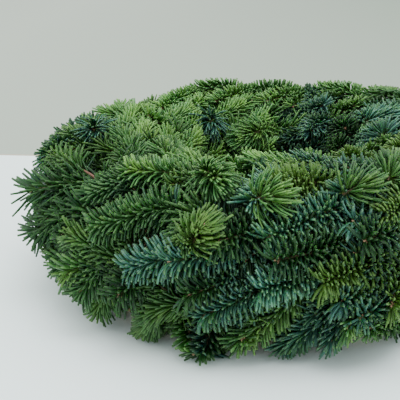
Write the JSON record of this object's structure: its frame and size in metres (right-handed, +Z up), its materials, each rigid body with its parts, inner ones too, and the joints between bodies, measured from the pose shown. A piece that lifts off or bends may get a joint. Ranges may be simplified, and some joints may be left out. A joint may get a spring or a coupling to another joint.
{
  "type": "advent wreath",
  "caption": "Round table wreath of bushy noble-fir sprigs wired clockwise onto a flat-bottomed straw ring, with an open centre.",
  "frame": {"origin": "middle of the hole, on the table that the wreath lies on", "axes": "+Z up, out of the table; -Y towards the front of the wreath"},
  "size_m": [0.491, 0.4992, 0.1586],
  "materials": {
    "blue_fir": "waxy blue-green needles with pale tips on brown twigs",
    "green_fir": "yellow-green needles with pale tips on brown twigs",
    "straw": "bundled dry straw",
    "green_wire": "dark green lacquer"
  },
  "bodies": {
    "root": {"straw_ring": "straw", "binding_wire": "green_wire", "sprigs_01_outer": "blue_fir", "sprigs_01_top": "green_fir", "sprigs_01_inner": "blue_fir", "sprigs_02_outer": "green_fir", "sprigs_02_top": "blue_fir", "sprigs_02_inner": "green_fir", "sprigs_03_outer": "blue_fir", "sprigs_03_top": "green_fir", "sprigs_03_inner": "blue_fir", "sprigs_04_outer": "green_fir", "sprigs_04_top": "blue_fir", "sprigs_04_inner": "green_fir", "sprigs_05_outer": "blue_fir", "sprigs_05_top": "green_fir", "sprigs_05_inner": "blue_fir", "sprigs_06_outer": "green_fir", "sprigs_06_top": "blue_fir", "sprigs_06_inner": "green_fir", "sprigs_07_outer": "blue_fir", "sprigs_07_top": "green_fir", "sprigs_07_inner": "blue_fir", "sprigs_08_outer": "green_fir", "sprigs_08_top": "blue_fir", "sprigs_08_inner": "green_fir", "sprigs_09_outer": "blue_fir", "sprigs_09_top": "green_fir", "sprigs_09_inner": "blue_fir", "sprigs_10_outer": "green_fir", "sprigs_10_top": "blue_fir", "sprigs_10_inner": "green_fir", "sprigs_11_outer": "blue_fir", "sprigs_11_top": "green_fir", "sprigs_11_inner": "blue_fir", "sprigs_12_outer": "green_fir", "sprigs_12_top": "blue_fir", "sprigs_12_inner": "green_fir", "sprigs_13_outer": "blue_fir", "sprigs_13_top": "green_fir", "sprigs_13_inner": "blue_fir", "sprigs_14_outer": "green_fir", "sprigs_14_top": "blue_fir", "sprigs_14_inner": "green_fir", "sprigs_15_outer": "blue_fir", "sprigs_15_top": "green_fir", "sprigs_15_inner": "blue_fir", "sprigs_16_outer": "green_fir", "sprigs_16_top": "blue_fir", "sprigs_16_inner": "green_fir", "sprigs_17_outer": "blue_fir", "sprigs_17_top": "green_fir", "sprigs_17_inner": "blue_fir", "sprigs_18_outer": "green_fir", "sprigs_18_top": "blue_fir", "sprigs_18_inner": "green_fir"}
  },
  "joints": []
}
